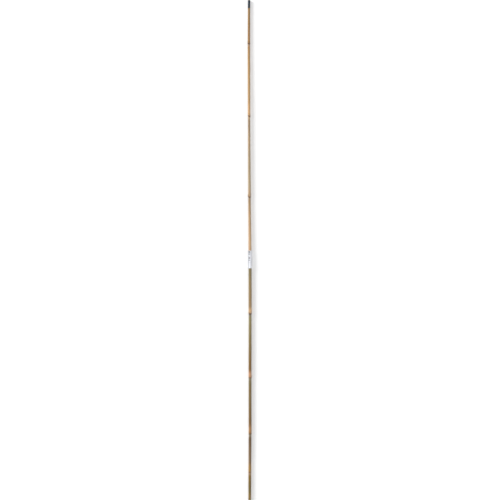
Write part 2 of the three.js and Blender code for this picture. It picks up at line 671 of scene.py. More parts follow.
    def _relief(self, angle: Socket, cosine: Socket) -> dict[str, Socket]:
        """Works out the node's relief and the masks that the finish reads.

        Args:
            angle: The angle round the ring.
            cosine: Its cosine.

        Returns:
            The masks, by attribute name. The relief itself is kept in self.rise.
        """
        w, n, g = self.wiring, self.numbers, self.given
        waver = w.times(w.math("SINE", w.plus(w.times(angle, 3.0), w.times(n["bud"], 5.0))), self.WAVER)
        past = w.plus(n["past"], w.times(n["tilt"], cosine), waver)
        toward = w.minus(w.math("COSINE", w.minus(angle, n["bud"])), 1.0)
        scar = w.bell(past, 0.0, g["Ridge Width"])
        valley = w.times(w.bell(past, g["Valley At"], g["Valley Width"]), g["Valley Depth"])
        swell = w.bell(past, g["Swell At"], g["Swell Width"])
        started = w.ramp(past, g["Valley At"], w.times(g["Swell At"], 1.5))
        ended = w.ramp(past, w.times(g["Groove Length"], 0.3), g["Groove Length"], 1.0, 0.0)
        side = w.math("EXPONENT", w.times(toward, g["Groove Tightness"]))
        groove = w.times(side, started, ended, n["relief"])
        knob = w.times(w.math("EXPONENT", w.times(toward, g["Bud Tightness"])),
                       w.bell(past, g["Bud At"], g["Bud Length"]), n["relief"])
        trimmed = w.math("MINIMUM", w.times(knob, 1.7), 1.0)
        raised = w.plus(w.times(scar, n["ridge"]), w.times(swell, n["swell"]))
        lumps = w.times(w.minus(self._noise(*self.LUMPS), 0.5), g["Unevenness"], 2.0)
        flutes = w.times(w.minus(self._noise(*self.FLUTES), 0.5), g["Fluting"], 2.0)
        lowered = w.plus(valley, w.times(groove, g["Groove Depth"]))
        stub = w.times(trimmed, n["ridge"], g["Bud Height"])
        relief = w.plus(raised, stub, lumps, flutes, w.times(lowered, -1.0))
        self.rise = w.times(relief, n["relief"])
        bloom = w.bell(past, *self.BLOOM)
        blackened = w.ramp(n["ridge"], *self.BLACKENED, 0.3, 1.0)
        soot = w.times(w.bell(past, g["Soot At"], g["Soot Width"]), blackened)
        masks = {"scar": scar, "bloom": bloom, "soot": soot}
        masks = {name: w.times(mask, n["relief"]) for name, mask in masks.items()}
        return {**masks, "bud_scar": knob, "groove": groove}

    def _noise(self, scale: float, along: float) -> Socket:
        """Gives noise that is stretched along the culm.

        Args:
            scale: Features to the metre round the culm.
            along: How many features it has along the culm for each one round it.

        Returns:
            The noise, about 0 to 1.
        """
        w = self.wiring
        place = w.stretched(w.named("grain", "FLOAT_VECTOR"), 1.0, along, 1.0)
        return w.add("ShaderNodeTexNoise", {"Vector": place, "W": self.given["Seed"],
                     "Scale": scale, "Detail": 2.0}, noise_dimensions="4D").outputs[0]

    def _grain(self, cosine: Socket, sine: Socket) -> Socket:
        """Gives the place on the culm as if its centreline were straight.

        Args:
            cosine: The cosine of the angle round the ring.
            sine: Its sine.

        Returns:
            The place, with Y the distance along the outline.
        """
        w, n = self.wiring, self.numbers
        feeds = {0: w.times(cosine, n["radius"]), 1: n["run"], 2: w.times(sine, n["radius"])}
        return w.add("ShaderNodeCombineXYZ", feeds).outputs[0]

    def _place(self, outward: Socket, angle: Socket) -> Socket:
        """Gives each grid point's place.

        Args:
            outward: The direction away from the centreline.
            angle: The angle round the ring.

        Returns:
            The place.
        """
        w, n = self.wiring, self.numbers
        centres = w.add("GeometryNodeInputPosition").outputs[0]
        centre = w.add("GeometryNodeSampleIndex", {"Geometry": self.given["Rings"], "Value": centres,
                       "Index": self.ring}, data_type="FLOAT_VECTOR").outputs["Value"]
        reach = w.plus(n["radius"], self.rise)
        arm = w.scaled(outward, reach)
        waves = w.plus(w.math("SINE", w.times(angle, 2.0)),
                       w.times(w.math("SINE", w.plus(w.times(angle, 5.0), 1.3)), 0.45))
        shift = w.add("ShaderNodeCombineXYZ", {1: w.times(waves, n["sway"])}).outputs[0]
        return w.moved(w.moved(centre, arm), shift)

    def _uv(self, geometry: Socket) -> Socket:
        """Stores a UV map of turns round the ring and metres along the outline.

        Args:
            geometry: The grid.

        Returns:
            The grid with the map.
        """
        w = self.wiring
        pair = w.add("ShaderNodeCombineXYZ", {0: w.named("around"), 1: w.named("run")}).outputs[0]
        return self._store(geometry, "Skin", pair, "FLOAT2", "CORNER")

    def span(self, name: str, rings: Rings, material: bpy.types.Material,
             **inputs: float) -> bpy.types.Object:
        """Makes a plain mesh object of a skin over rings.

        Args:
            name: The piece's name.
            rings: The rings, from one closed end to the other.
            material: The material it is set to.
            **inputs: Tree inputs that differ from their defaults, with _ for a space.

        Returns:
            The piece.
        """
        piece = new_object(name, rings.as_mesh(name))
        modifier = piece.modifiers.new("skin", "NODES")
        modifier.node_group = self.tree
        wanted = {"Sides": self.sides, "Material": material}
        wanted.update({key.replace("_", " "): value for key, value in inputs.items()})
        set_inputs(modifier, wanted)
        bake_modifiers(piece)
        return piece


def add_map(mesh: bpy.types.Mesh, name: str, corners: np.ndarray) -> None:
    """Adds a UV map.

    Args:
        mesh: The mesh.
        name: The map's name.
        corners: The place of each face corner on the map.
    """
    layer = mesh.uv_layers.new(name=name, do_init=False)
    layer.uv.foreach_set("vector", corners.astype(np.float32).ravel())


def lay_out_strips(mesh: bpy.types.Mesh, strips: int, edge: float = 0.004) -> None:
    """Gives a ring skin the UV map that its finish is baked through: strips side by side.

    Args:
        mesh: The skin, whose Skin map holds turns and metres.
        strips: How many strips its length is cut into.
        edge: The gap kept round the map and between strips.
    """
    uv = read_attribute(mesh, "Skin", 2)
    starts = np.empty(len(mesh.polygons), np.int32)
    mesh.polygons.foreach_get("loop_start", starts)
    counts = np.empty(len(mesh.polygons), np.int32)
    mesh.polygons.foreach_get("loop_total", counts)
    rings = np.unique(uv[:, 1])
    wanted = np.linspace(0, rings[-1], strips + 1)
    breaks = rings[np.abs(rings[:, None] - wanted).argmin(axis=0)]
    middles = np.add.reduceat(uv[:, 1], starts) / counts
    strip = np.repeat(np.searchsorted(breaks[1:-1], middles), counts)
    across = edge + np.clip(uv[:, 0], 0, 1) * (1 / strips - 2 * edge) + strip / strips
    along = edge + (uv[:, 1] - breaks[strip]) / np.diff(breaks).max() * (1 - 2 * edge)
    add_map(mesh, "OFBake", np.column_stack([across, along]))


# ---------------------------------------------------------------------------------------------
# Finishes


class Brush(Wiring):
    """Wires one material, with the patterns and mixes that the finishes share."""

    def __init__(self, material: bpy.types.Material) -> None:
        """Takes up a material and finds its shader."""
        super().__init__(material.node_tree)
        self.shader = material.node_tree.nodes["Principled BSDF"]

    def attribute(self, name: str, output: str = "Fac") -> Socket:
        """Reads a mesh attribute."""
        return self.add("ShaderNodeAttribute", attribute_name=name).outputs[output]

    def noise(self, place: Socket, scale: float, detail: float = 3.0, rough: float = 0.55) -> Socket:
        """Reads noise.

        Args:
            place: Where it is read.
            scale: Features to the metre.
            detail: How many finer layers it has.
            rough: How strong those layers are.

        Returns:
            The noise, about 0 to 1.
        """
        feeds = {"Vector": place, "Scale": scale, "Detail": detail, "Roughness": rough}
        return self.add("ShaderNodeTexNoise", feeds).outputs["Fac"]

    def spots(self, place: Socket, scale: float, randomness: float = 1.0) -> Socket:
        """Gives the distance from scattered points, 0 at a point and about 1 between them."""
        feeds = {"Vector": place, "Scale": scale, "Randomness": randomness}
        return self.add("ShaderNodeTexVoronoi", feeds).outputs["Distance"]

    def mix(self, factor: Link, a: Link, b: Link, blend: str = "MIX") -> Socket:
        """Mixes two colours.

        Args:
            factor: How much of b.
            a: The first colour.
            b: The second colour.
            blend: The blend type.

        Returns:
            The mixed colour.
        """
        node = self.add("ShaderNodeMix", data_type="RGBA", blend_type=blend)
        self.feed(node.inputs[0], factor)
        self.feed(node.inputs[6], a)
        self.feed(node.inputs[7], b)
        return node.outputs[2]

    def bump(self, height: Socket, depth: float, strength: float) -> None:
        """Raises the surface.

        Args:
            height: The height, about 0 to 1.
            depth: How much a height of 1 is.
            strength: How strongly it shows.
        """
        feeds = {"Height": height, "Distance": depth, "Strength": strength}
        self.feed(self.shader.inputs["Normal"], self.add("ShaderNodeBump", feeds).outputs[0])

    def finish_with(self, colour: Socket, roughness: Link, **fixed: float) -> None:
        """Feeds the shader.

        Args:
            colour: The base colour.
            roughness: The roughness.
            **fixed: Values set on the shader's own sockets, with _ for a space.
        """
        self.feed(self.shader.inputs["Base Color"], colour)
        self.feed(self.shader.inputs["Roughness"], roughness)
        for key, value in fixed.items():
            self.shader.inputs[key.replace("_", " ")].default_value = value


@dataclass(frozen=True)
class Finish:
    """A finish: one material, wired by a subclass.

    Attributes:
        name: The material's name.
    """

    name: str = "finish"

    def make(self) -> bpy.types.Material:
        """Makes the material.

        Returns:
            The material, with its nodes wired.
        """
        material = bpy.data.materials.new(self.name)
        material.use_nodes = True
        self.wire(Brush(material))
        return material

    def wire(self, w: Brush) -> None:
        """Wires the material's nodes; each finish has its own.

        Args:
            w: The brush that wires the material.
        """
        raise NotImplementedError


@dataclass(frozen=True)
class Patterns:
    """The patterns that the parts of the bamboo finish share.

    Attributes:
        grain: The place on the straightened culm, where they are read.
        fibre: Fine noise along the fibres.
        streak: Broader noise along the fibres.
        mottle: Patchy noise.
        cloud: Large soft noise.
    """

    grain: Socket
    fibre: Socket
    streak: Socket
    mottle: Socket
    cloud: Socket


@dataclass(frozen=True)
class BambooSkin(Finish):
    """Dry cane skin: satin, streaked along its fibres, brown and rough at each sheath scar.

    Attributes:
        scar: The colour of the sheath-scar ridge.
        bloom: The waxy bloom just below each node.
        stain_and_groove_shade: What weathering leaves in patches and specks, and the painted shade along
            each bud groove.
        wood: The bare wood of a trimmed bud or a sawn end.
        bundle: The vascular bundles that dot the sawn end.
        green: The greenish cast left in some streaks.
        russet: The warmer cast of some patches.
    """

    scar: str = "4a3120"
    bloom: str = "c6bc9f"
    stain_and_groove_shade: str = "4d4030"
    wood: str = "c4a878"
    bundle: str = "6d5030"
    green: str = "7f8a5c"
    russet: str = "b07c46"
    name: str = "bamboo_skin"

    def wire(self, w: Brush) -> None:
        """Wires colour, roughness and bump.

        Args:
            w: The brush that wires the material.
        """
        grain = w.attribute("grain", "Vector")
        p = Patterns(
            grain,
            fibre=w.noise(w.stretched(grain, 1, 0.012, 1), 3600, 3.0, 0.6),
            streak=w.noise(w.stretched(grain, 1, 0.022, 1), 950, 3.0),
            mottle=w.noise(w.stretched(grain, 1, 0.4, 1), 95, 5.0, 0.6),
            cloud=w.noise(w.stretched(grain, 1, 0.2, 1), 60, 3.0),
        )
        colour = self._sawn_end(w, p, self._nodes(w, p, self._skin(w, p)))
        scar, worn = w.attribute("scar"), w.attribute("worn")
        rough = w.plus(w.times(p.fibre, 0.3), w.times(scar, 0.3), w.times(worn, 0.4),
                       w.times(p.mottle, 0.2), 0.16)
        w.finish_with(colour, w.math("MINIMUM", rough, 0.95), Specular_IOR_Level=0.36,
                      Coat_Weight=0.05, Coat_Roughness=0.2)
        crumble = w.times(w.noise(grain, 2600, 2.0), w.plus(scar, worn), 1.4)
        w.bump(w.plus(p.fibre, w.times(p.streak, 1.2), crumble), 0.07 * MM, 0.6)

    def _skin(self, w: Brush, p: Patterns) -> Socket:
        """Colours the plain skin.

        Args:
            w: The brush that wires the material.
            p: The shared patterns.

        Returns:
            The colour.
        """
        light = w.plus(w.times(p.fibre, 0.75), w.times(p.streak, 0.8), w.times(p.cloud, 0.5), -0.025)
        colour = w.scaled(w.attribute("tone", "Color"), light)
        greened = w.times(w.ramp(p.streak, 0.45, 0.72), 0.25)
        colour = w.mix(greened, colour, rgba(self.green), "SOFT_LIGHT")
        warmed = w.times(w.ramp(p.cloud, 0.5, 0.72), w.ramp(p.mottle, 0.4, 0.65), 0.45)
        colour = w.mix(warmed, colour, rgba(self.russet), "SOFT_LIGHT")
        hairline = w.times(w.ramp(p.fibre, 0.58, 0.68), w.ramp(p.cloud, 0.35, 0.6), 0.55)
        colour = w.mix(hairline, colour, rgba(self.stain_and_groove_shade), "MULTIPLY")
        scratch = w.times(w.ramp(p.fibre, 0.36, 0.3), w.ramp(p.mottle, 0.5, 0.62), 0.4)
        colour = w.mix(scratch, colour, rgba(self.wood))
        cells = w.add("ShaderNodeTexVoronoi", {"Vector": w.stretched(p.grain, 1, 0.5, 1), "Scale": 760.0})
        chance = w.add("ShaderNodeSeparateColor", {0: cells.outputs["Color"]}).outputs[0]
        inside = w.minus(cells.outputs["Distance"], w.times(chance, 0.24))
        speck = w.times(w.ramp(inside, 0.0, -0.07), w.ramp(p.mottle, 0.46, 0.62), 0.7)
        patch = w.times(w.ramp(p.mottle, 0.6, 0.74), w.ramp(p.streak, 0.35, 0.6), 0.5)
        return w.mix(w.math("MAXIMUM", speck, patch), colour, rgba(self.stain_and_groove_shade))

    def _nodes(self, w: Brush, p: Patterns, colour: Socket) -> Socket:
        """Adds each node's bloom, the painted shade in its bud groove, its sheath scar and its trimmed bud.

        Args:
            w: The brush that wires the material.
            p: The shared patterns.
            colour: The plain skin's colour.

        Returns:
            The colour.
        """
        bloom = w.times(w.attribute("bloom"), w.ramp(p.mottle, 0.2, 0.5), w.ramp(p.streak, 0.3, 0.6), 0.5)
        colour = w.mix(bloom, colour, rgba(self.bloom))
        # Painted shade: each bud groove is darkened towards the weathering colour, as shade in the recess.
        colour = w.mix(w.times(w.attribute("groove"), 0.22), colour, rgba(self.stain_and_groove_shade), "MULTIPLY")
        sooty = w.times(w.attribute("soot"), w.ramp(p.streak, 0.25, 0.6, 0.55, 1.0), 0.85)
        colour = w.mix(sooty, colour, rgba(self.scar))
        ragged = w.plus(w.attribute("scar"), w.times(w.minus(p.fibre, 0.5), 0.9))
        colour = w.mix(w.times(w.ramp(ragged, 0.12, 0.75), 0.85), colour, rgba(self.scar))
        bud = w.attribute("bud_scar")
        colour = w.mix(w.ramp(bud, 0.22, 0.42), colour, rgba(self.scar))
        pale = w.scaled(linear(self.wood), w.plus(w.times(p.fibre, 0.5), 0.6))
        return w.mix(w.ramp(bud, 0.5, 0.6), colour, pale)

    def _sawn_end(self, w: Brush, p: Patterns, colour: Socket) -> Socket:
        """Adds the sawn end: pale wood, its bundles small and close near the skin, and saw marks.

        Args:
            w: The brush that wires the material.
            p: The shared patterns.
            colour: The colour of everything else.

        Returns:
            The colour.
        """
        flat = w.stretched(p.grain, 1, 0, 1)
        radius = w.add("ShaderNodeVectorMath", {0: flat}, operation="LENGTH").outputs["Value"]
        outer = w.ramp(radius, 3.1 * MM, 3.5 * MM)
        small = w.ramp(w.spots(flat, 3600, 0.7), 0.5, 0.25)
        large = w.ramp(w.spots(flat, 1700, 0.8), 0.34, 0.2)
        dots = w.plus(w.times(small, outer), w.times(large, w.minus(1.0, outer)))
        face = w.mix(w.times(dots, 0.75), rgba(self.wood), rgba(self.bundle))
        marks = w.noise(w.stretched(p.grain, 0.12, 0, 1), 2600, 2.0)
        face = w.scaled(face, w.plus(w.times(w.noise(flat, 700), 0.5), w.times(marks, 0.35), 0.52))
        rind = w.ramp(radius, 4.1 * MM, 4.6 * MM, 0.0, 0.55)
        face = w.mix(rind, face, rgba(self.bundle), "MULTIPLY")
        return w.mix(w.ramp(w.attribute("worn"), 0.35, 0.65), colour, face)


@dataclass(frozen=True)
class DippedPaint(Finish):
    """Thick semi-gloss paint that the tip was dipped in, thin at its edge and chipped at the end.

    Attributes:
        paint: The paint's colour.
        thin: Its colour where the film is thin.
        bare: The cane showing through a chip.
        sag: Its colour where it has drawn into sags.
        dust: The dust on it.
    """

    paint: str = "0f1e2a"
    thin: str = "223a4c"
    bare: str = "a58a5c"
    sag: str = "111b23"
    dust: str = "8d949a"
    name: str = "dipped_paint"

    def wire(self, w: Brush) -> None:
        """Wires colour, roughness and bump.

        Args:
            w: The brush that wires the material.
        """
        grain = w.attribute("grain", "Vector")
        worn = w.attribute("worn")
        cloud = w.noise(grain, 210, 3.0)
        peel = w.noise(grain, 900, 2.0)
        drag = w.noise(w.stretched(grain, 1, 0.05, 1), 700, 3.0)
        colour = w.mix(w.ramp(cloud, 0.35, 0.7, 0.0, 0.45), rgba(self.paint), rgba(self.thin))
        colour = w.mix(w.times(w.ramp(drag, 0.5, 0.75), 0.35), colour, rgba(self.sag))
        chip = w.ramp(w.plus(w.times(worn, 0.38), w.noise(grain, 620, 4.0)), 0.87, 0.91)
        colour = w.mix(chip, colour, rgba(self.bare))
        dusty = w.ramp(w.spots(grain, 1500), 0.16, 0.07, 0.0, 0.3)
        colour = w.mix(dusty, colour, rgba(self.dust))
        rough = w.plus(w.times(peel, 0.16), w.times(cloud, 0.14), w.times(chip, 0.35), 0.16)
        w.finish_with(colour, rough, Specular_IOR_Level=0.14, Coat_Weight=0.03, Coat_Roughness=0.12)
        w.bump(w.plus(peel, w.times(drag, 0.7), w.times(chip, -1.2)), 0.05 * MM, 0.5)


@dataclass(frozen=True)
class LabelPaper(Finish):
    """Coated white label paper with a block of plain bars in ink on it, and painted shade along its left
    side.

    Attributes:
        paper: The paper's colour.
        ink: The print's colour.
        module: The width of the narrowest bar.
        block: The block of bars in ink: its left and right edge, and its nearest and farthest edge from the
        paper's tip-side end, on the Sheet map.
        rules: The plain rules after the block: how long and how dark each one is.
        gap: How far apart they lie.
        painted_shade_band: Painted shade, a pale grey band along the paper's left side: its left and right
            edge.
        painted_shade_grey: How dark that painted shade is.
        blank: The share of the block's bars that is left white.
        grime: What handling leaves on it.
    """

    paper: str = "dadce2"
    ink: str = "3b3d42"
    module: float = 0.8 * MM
    block: tuple[float, float, float, float] = (-5.4 * MM, 0.8 * MM, 1.6 * MM, 37 * MM)
    rules: tuple[tuple[float, float], ...] = (
        (19 * MM, 0.6), (13 * MM, 0.3), (16 * MM, 0.3), (8 * MM, 0.3))
    gap: float = 4.4 * MM
    painted_shade_band: tuple[float, float] = (-15 * MM, -5.4 * MM)
    painted_shade_grey: float = 0.62
    blank: float = 0.52
    grime: str = "b9ad93"
    name: str = "label_paper"

    def inside(self, w: Brush, value: Socket, low: float, high: float) -> Socket:
        """Gives 1 between two limits and 0 outside them."""
        return w.times(w.math("GREATER_THAN", value, low), w.math("LESS_THAN", value, high))

    def wire(self, w: Brush) -> None:
        """Wires colour, roughness and bump.

        Args:
            w: The brush that wires the material.
        """
        sheet = w.add("ShaderNodeUVMap", uv_map="Sheet").outputs[0]
        parts = w.add("ShaderNodeSeparateXYZ", {0: sheet}).outputs
        across, along = parts[0], parts[1]
        left, right, near, far = self.block
        step = w.math("FLOOR", w.math("DIVIDE", along, self.module))
        drawn = w.add("ShaderNodeTexWhiteNoise", {"W": step}, noise_dimensions="1D").outputs["Value"]
        print_and_painted_shade = w.times(w.math("GREATER_THAN", drawn, self.blank), self.inside(w, across, left, right),
                          self.inside(w, along, near, far))
        for number, (width, grey) in enumerate(self.rules):
            top = far + self.gap * (number + 1)
            rule = w.times(self.inside(w, across, left, left + width),
                           self.inside(w, along, top, top + self.module))
            print_and_painted_shade = w.math("MAXIMUM", print_and_painted_shade, w.times(rule, grey))
        # Painted shade: a pale grey band in the ink's colour along the label's left side, standing in for
        # the shade there. From here on the print mask holds both the print and this painted shade.
        painted_shade_mask = w.times(self.inside(w, across, *self.painted_shade_band), self.painted_shade_grey)
        print_and_painted_shade = w.math("MAXIMUM", print_and_painted_shade, painted_shade_mask)
        pulp = w.noise(sheet, 2600, 3.0)
        grime = w.noise(sheet, 120, 4.0)
        colour = w.scaled(linear(self.paper), w.plus(w.times(pulp, 0.05), w.times(grime, 0.07), 0.94))
        colour = w.mix(w.ramp(grime, 0.58, 0.78, 0.0, 0.16), colour, rgba(self.grime))
        faded_print_and_shade = w.times(print_and_painted_shade, w.ramp(pulp, 0.25, 0.5, 0.72, 0.95))
        colour = w.mix(faded_print_and_shade, colour, rgba(self.ink))
        rough = w.plus(w.times(pulp, 0.15), w.times(print_and_painted_shade, -0.12), 0.46)
        w.finish_with(colour, rough, Specular_IOR_Level=0.4)
        w.bump(w.plus(pulp, w.times(grime, 1.5)), 0.03 * MM, 0.35)


@dataclass(frozen=True)
class PaperBack(Finish):
    """The label's uncoated back, slightly yellowed by its glue.

    Attributes:
        paper: The paper's colour.
        glued: Its colour where glue has soaked in.
    """

    paper: str = "ddd8c8"
    glued: str = "b9a886"
    name: str = "paper_back"

    def wire(self, w: Brush) -> None:
        """Wires colour, roughness and bump.

        Args:
            w: The brush that wires the material.
        """
        place = w.add("ShaderNodeTexCoord").outputs["Object"]
        pulp = w.noise(place, 2200, 3.0)
        glue = w.noise(place, 260, 3.0)
        colour = w.mix(w.ramp(glue, 0.4, 0.65, 0.0, 0.4), rgba(self.paper), rgba(self.glued))
        colour = w.scaled(colour, w.plus(w.times(pulp, 0.2), 0.9))
        w.finish_with(colour, w.plus(w.times(glue, -0.3), 0.95))
        w.bump(pulp, 0.03 * MM, 0.4)


@dataclass(frozen=True)
class SheathFibre(Finish):
    """The papery brown fibres that a shed sheath leaves at its scar.

    Attributes:
        dark: The darkest fibres' colour.
        light: The lightest fibres' colour.
    """

    dark: str = "4a3521"
    light: str = "8a6b45"
    name: str = "sheath_fibre"

    def wire(self, w: Brush) -> None:
        """Wires colour, roughness and bump.

        Args:
            w: The brush that wires the material.
        """
        place = w.add("ShaderNodeTexCoord").outputs["Object"]
        share = w.ramp(w.noise(place, 1300, 2.0), 0.35, 0.65)
        colour = w.mix(share, rgba(self.dark), rgba(self.light))
        w.finish_with(colour, w.plus(w.times(w.noise(place, 3000, 2.0), 0.3), 0.6))
        w.bump(w.noise(place, 4000, 2.0), 0.03 * MM, 0.4)


@dataclass(frozen=True)
class WhiteGround(Finish):
    """The plain white surface that the cane lies on.

    Attributes:
        tone: Its colour.
    """

    tone: str = "f7f7f7"
    name: str = "white_ground"

    def wire(self, w: Brush) -> None:
        """Sets a plain matt white."""
        w.finish_with(rgba(self.tone), 0.9, Specular_IOR_Level=0.0)


# ---------------------------------------------------------------------------------------------
# The culm


def outline(distance: np.ndarray | float, radius: np.ndarray | float, relief: np.ndarray | float = 0.0,
            worn: np.ndarray | float = 0.0) -> np.ndarray:
    """Gives points of a lathed outline.

    Args:
        distance: How far from the butt each point lies.
        radius: How far it is from the centreline.
        relief: How much node relief it takes.
        worn: 1 where it is sawn or worn.

    Returns:
        One row of distance, radius, relief and wear for each point.
    """
    parts = map(np.atleast_1d, (distance, radius, relief, worn))
    return np.column_stack(np.broadcast_arrays(*parts)).astype(float)


def quarter_round(distance: float, radius: float, size: float, turn: float, count: int = 5) -> np.ndarray:
    """Gives the outline of a rounded edge, walked away from the butt end or towards the tip end.

    Args:
        distance: The end face's distance from the butt.
        radius: The side's radius.
        size: The rounding's radius.
        turn: 1 at the butt end, walked from face to side; -1 at the tip end, from side to face.
        count: How many points it has.

    Returns:
        The outline's rows.
    """
    angle = np.linspace(0, TAU / 4, count)
    if turn > 0:
        return outline(distance + size * (1 - np.cos(angle)), radius - size * (1 - np.sin(angle)))
    return outline(distance - size * (1 - np.sin(angle)), radius - size * (1 - np.cos(angle)))


@dataclass
class Culm:
    """The grown culm: internodes and nodes, a sawn butt with its pith hollow, and the end under the paint.

    Attributes:
        spine: Its centreline and thickness.
        skin: The tree that spans it.
        fine: The ring spacing round a node.
        coarse: The ring spacing elsewhere.
        below: How far the fine spacing reaches below a node.
        above: How far it reaches above one.
        pith: The pith hollow's radius.
        pith_depth: How deep the hollow is.
        floor: The rounding of its floor.
        chamfer: The rounding of the sawn edge.
        bare_end: How much of the tip end is smooth under the paint.
        end_rounding: The rounding of that end.
        strips: How many strips its baked map has.
        fade_in: How far from the butt the nodes' relief is full.
        fade_out: How far before the smooth end it starts to fade.
        edge_wear: How worn the outermost point of the sawn edge is.
        face_rings: How many rings the hollow's wall and the sawn face each have.
    """

    spine: Spine
    skin: RingSkin
    fine: float = 0.6 * MM
    coarse: float = 3.4 * MM
    below: float = 10 * MM
    above: float = 24 * MM
    pith: float = 1.5 * MM
    pith_depth: float = 14 * MM
    floor: float = 0.6 * MM
    chamfer: float = 0.4 * MM
    bare_end: float = 30 * MM
    end_rounding: float = 0.8 * MM
    strips: int = 8
    fade_in: float = 6 * MM
    fade_out: float = 12 * MM
    edge_wear: float = 0.4
    face_rings: int = 9

    def build(self) -> bpy.types.Object:
        """Builds and dresses the culm.

        Returns:
            The piece.
        """
        finish = BambooSkin().make()
        piece = self.skin.span("bamboo_culm", self._rings(), finish)
        lay_out_strips(piece.data, self.strips)
        return dress(piece, [finish], "culm")

    def _side_distances(self) -> np.ndarray:
        """Places the side rings, close together round each node.

        Returns:
            Their distances from the butt.
        """
        end = self.spine.levels[-1] - self.end_rounding
        even = np.arange(self.chamfer + self.fine, end, self.coarse)
        ats = np.array([n.at for n in NODES])[:, None]
        near = ((even > ats - self.below) & (even < ats + self.above)).any(axis=0)
        close = (ats + np.arange(-self.below, self.above, self.fine)).ravel()
        return np.sort(np.concatenate([even[~near], close]))

    def _sawn_butt(self) -> np.ndarray:
        """Walks the outline from the hollow's floor to the sawn edge.

        Returns:
            The outline's rows.
        """
        radius = float(self.spine.radius(np.array([0.0]))[0])
        wall = np.linspace(self.pith_depth - self.floor, self.chamfer, self.face_rings)
        face = np.linspace(self.pith + self.chamfer, radius - self.chamfer, self.face_rings)
        rounded = quarter_round(0.0, radius, self.chamfer, 1)
        parts = [outline(self.pith_depth, [0.0, self.pith - self.floor]), outline(wall, self.pith),
                 outline(0.0, face), rounded[1:]]
        butt = np.vstack(parts)
        butt[:, 3] = 1.0
        butt[-1, 3] = self.edge_wear
        return butt

    def _rings(self) -> Rings:
        """Gives the rings from the hollow's floor to the tip end.

        Returns:
            The rings.
        """
        spine = self.spine
        sides = self._side_distances()
        painted = spine.length - self.bare_end
        relief = 1.0 - smoothstep(painted - self.fade_out, painted, sides)
        relief *= smoothstep(0.0, self.fade_in, sides)
        end = spine.levels[-1]
        tip = float(spine.radius(np.array([end]))[0])
        rounded = quarter_round(end, tip, self.end_rounding, -1)
        points = np.vstack([self._sawn_butt(), outline(sides, spine.radius(sides), relief), rounded,
                            outline(end, 0.0)])
        return rings_along(spine, points)


def tones_along(distance: np.ndarray, length: float) -> np.ndarray:
    """Gives the culm's colour at each distance from the butt.

    Args:
        distance: The distances.
        length: The whole length.

    Returns:
        One linear colour for each distance.
    """
    ends = [0.0, *(n.at for n in NODES), length]
    found = np.zeros((len(distance), 3))
    for lower, upper, internode in zip(ends, ends[1:], INTERNODES):
        here = (distance >= lower) & (distance <= upper)
        found[here] = internode.tones(distance[here] - lower, upper - distance[here])
    return found


def rings_along(spine: Spine, points: np.ndarray, sway: np.ndarray | float = 0.0) -> Rings:
    """Sets an outline's points on the culm's centreline as rings.

    Args:
        spine: The centreline.
        points: The outline's rows.
        sway: How far each ring wavers along Y.

    Returns:
        The rings, with every number that the ring skin reads.
    """
    distance, radius, relief, worn = points.T
    reach = 25 * MM  # a node's own numbers start this far below it
    ats = np.array([n.at for n in NODES])
    owner = np.clip(np.searchsorted(ats - reach, distance, side="right") - 1, 0, len(NODES) - 1)
    traits = {key: np.array([getattr(n, key) for n in NODES])[owner] for key in ("ridge", "swell", "tilt")}
    steps = np.hypot(np.diff(distance), np.diff(radius))
    more = {
        **traits,
        "past": distance - ats[owner],
        "bud": np.array([n.bud.value for n in NODES])[owner],
        "relief": relief,
        "worn": worn,
        "sway": np.broadcast_to(sway, distance.shape),
        "run": np.concatenate([[0.0], np.cumsum(steps)]),
    }
    return Rings(spine.centre(distance), radius, more, tones_along(distance, spine.length))


